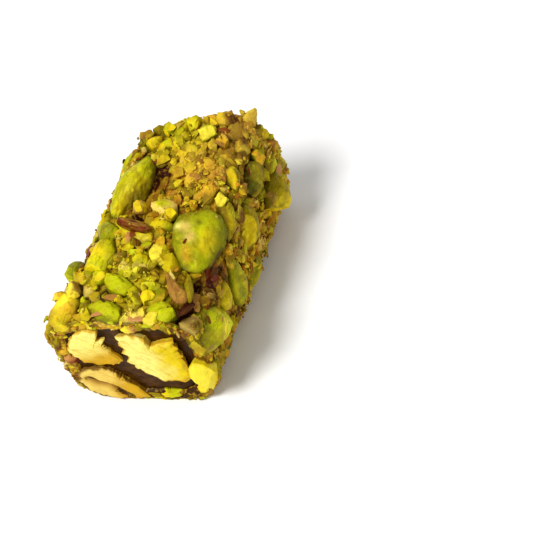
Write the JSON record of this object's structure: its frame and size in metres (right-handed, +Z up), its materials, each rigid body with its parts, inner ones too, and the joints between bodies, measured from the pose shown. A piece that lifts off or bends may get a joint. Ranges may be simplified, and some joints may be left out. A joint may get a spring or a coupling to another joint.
{
  "type": "turkish delight",
  "caption": "Knife-cut piece of brown Turkish delight jelly wrapped in pressed chopped pistachio, with whole kernels in the jelly and the coat.",
  "frame": {"origin": "middle of the underside, on the surface that the piece rests on", "axes": "+Z up, +Y along the piece from the near cut to the far cut, +X to its right side"},
  "size_m": [0.0323, 0.0525, 0.0281],
  "materials": {
    "chopped_pistachio": "rough, pressed chopped pistachio with bits of skin",
    "brown_jelly": "sticky glossy jelly",
    "pistachio_kernel": "green pistachio skin with yellow broken faces",
    "cut_pistachio": "pale cut pistachio flesh"
  },
  "bodies": {
    "root": {"chopped_coat": "chopped_pistachio", "cut_kernel_corner": "cut_pistachio", "cut_kernel_left": "cut_pistachio", "cut_kernel_low": "cut_pistachio", "cut_kernel_right": "cut_pistachio", "far_kernel_left": "cut_pistachio", "far_kernel_low": "cut_pistachio", "far_kernel_right": "cut_pistachio", "jelly": "brown_jelly", "kernel_centre": "pistachio_kernel", "kernel_far_right": "pistachio_kernel", "kernel_left_far": "pistachio_kernel", "kernel_left_middle": "pistachio_kernel", "kernel_left_near": "pistachio_kernel", "kernel_left_pale": "pistachio_kernel", "kernel_long": "pistachio_kernel", "kernel_near_right": "pistachio_kernel", "kernel_right_low": "pistachio_kernel", "kernel_right_upper": "pistachio_kernel", "kernel_right_upright": "pistachio_kernel", "kernel_under_far": "pistachio_kernel", "kernel_under_near": "pistachio_kernel"}
  },
  "joints": []
}
